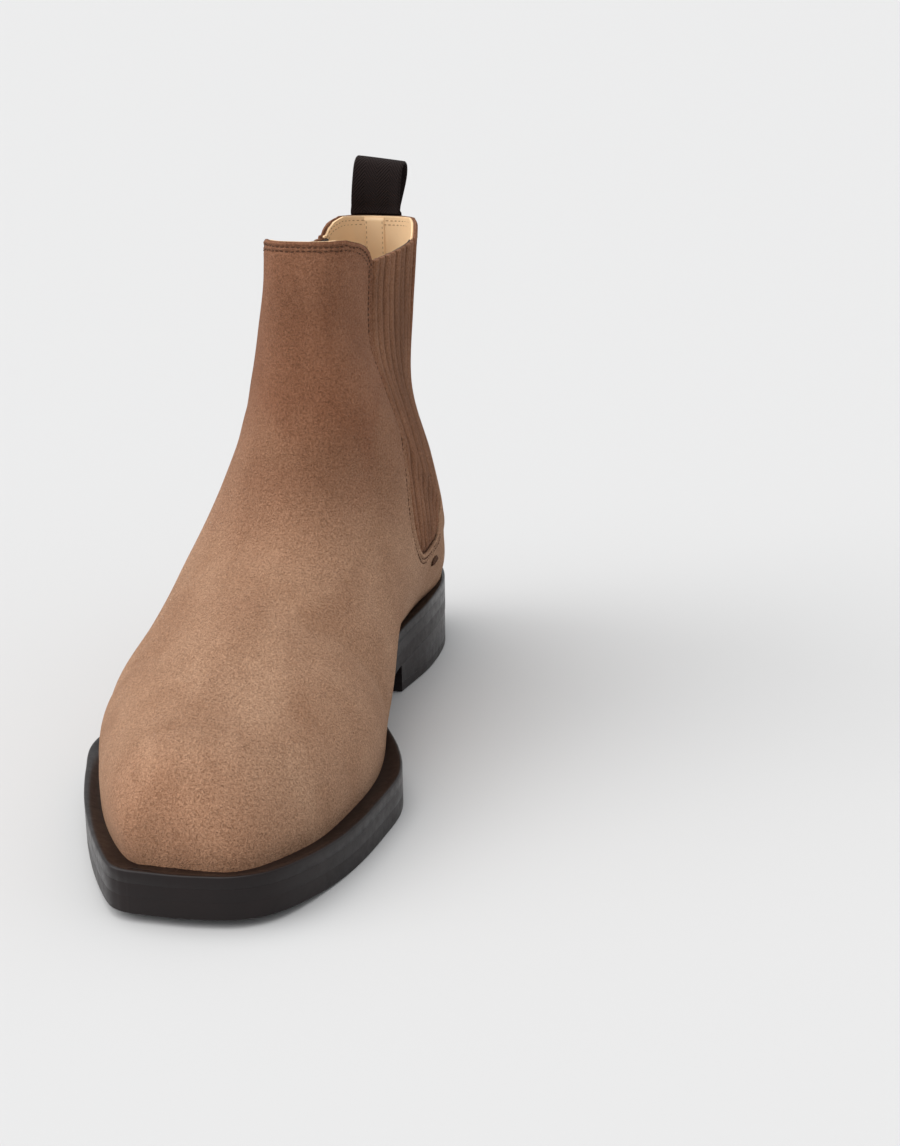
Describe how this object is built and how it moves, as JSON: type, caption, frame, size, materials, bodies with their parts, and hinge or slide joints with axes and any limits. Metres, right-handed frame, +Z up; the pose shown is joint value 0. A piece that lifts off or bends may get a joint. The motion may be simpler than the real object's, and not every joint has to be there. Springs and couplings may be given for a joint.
{
  "type": "chelsea boot",
  "caption": "Right suede chelsea boot with ribbed elastic gores, a herringbone pull loop and a low stacked heel",
  "frame": {"origin": "on the ground under the middle of the boot's bounding box; millimetres in the source, metres here", "axes": "+Z up, -Y towards the toe and +Y towards the heel, +X towards the inner (medial) side of a right foot"},
  "size_m": [0.1171, 0.3, 0.2057],
  "materials": {
    "suede": "short nap suede, matte, mottled where it was brushed",
    "suede_gore": "thin suede over elastic, pressed into upright ribs",
    "elastic": "woven rubber-cored elastic, matte",
    "lining": "smooth vegetable tanned lining, low sheen",
    "stiffener": "leather board, matte, hidden",
    "tape": "herringbone twill tape, matte",
    "thread": "bonded thread, slight sheen",
    "sole_leather": "dyed and waxed edge, satin gloss",
    "sole_rubber": "moulded rubber, satin",
    "board": "bonded leather board, hidden",
    "cork": "granulated cork in latex, matte, hidden",
    "shank_steel": "spring steel strip, hidden",
    "nail_brass": "drawn brass, flush heads"
  },
  "bodies": {
    "boot": {"front_panel": "suede", "heel_panel": "suede", "gore_facing_medial": "suede_gore", "gore_facing_lateral": "suede_gore", "gore_elastic_medial": "elastic", "gore_elastic_lateral": "elastic", "toe_puff": "stiffener", "heel_counter": "stiffener", "lining_front": "lining", "lining_heel": "lining", "bar_tack_medial": "thread", "bar_tack_lateral": "thread", "insole_board": "board", "sock_liner": "lining", "cork_filler": "cork", "shank": "shank_steel", "shank_cover": "board", "welt": "sole_leather", "midsole": "sole_leather", "outsole": "sole_rubber", "heel_seat_lift": "sole_leather", "heel_lift": "sole_leather", "top_piece": "sole_rubber", "heel_nails": "nail_brass"},
    "back_shaft": {"back_panel": "suede", "lining_back": "lining", "lining_back_strip": "lining", "back_tape": "tape"},
    "pull_tab": {"pull_loop": "tape"}
  },
  "joints": [
    {"name": "throat_open", "type": "hinge", "parent": "boot", "child": "back_shaft", "pos_m": [0.001, 0.1362, 0.0795], "axis": [-1, 0, 0], "range_deg": [0, 10], "stiffness_Nm_per_rad": 3, "springref_deg": -6.88, "deforming": ["gore_facing_medial", "gore_facing_lateral", "gore_elastic_medial", "gore_elastic_lateral"]},
    {"name": "pull_tab_fold", "type": "hinge", "parent": "back_shaft", "child": "pull_tab", "pos_m": [0.004, 0.1143, 0.1847], "axis": [1, 0, 0], "range_deg": [-60, 60], "stiffness_Nm_per_rad": 0.002}
  ]
}
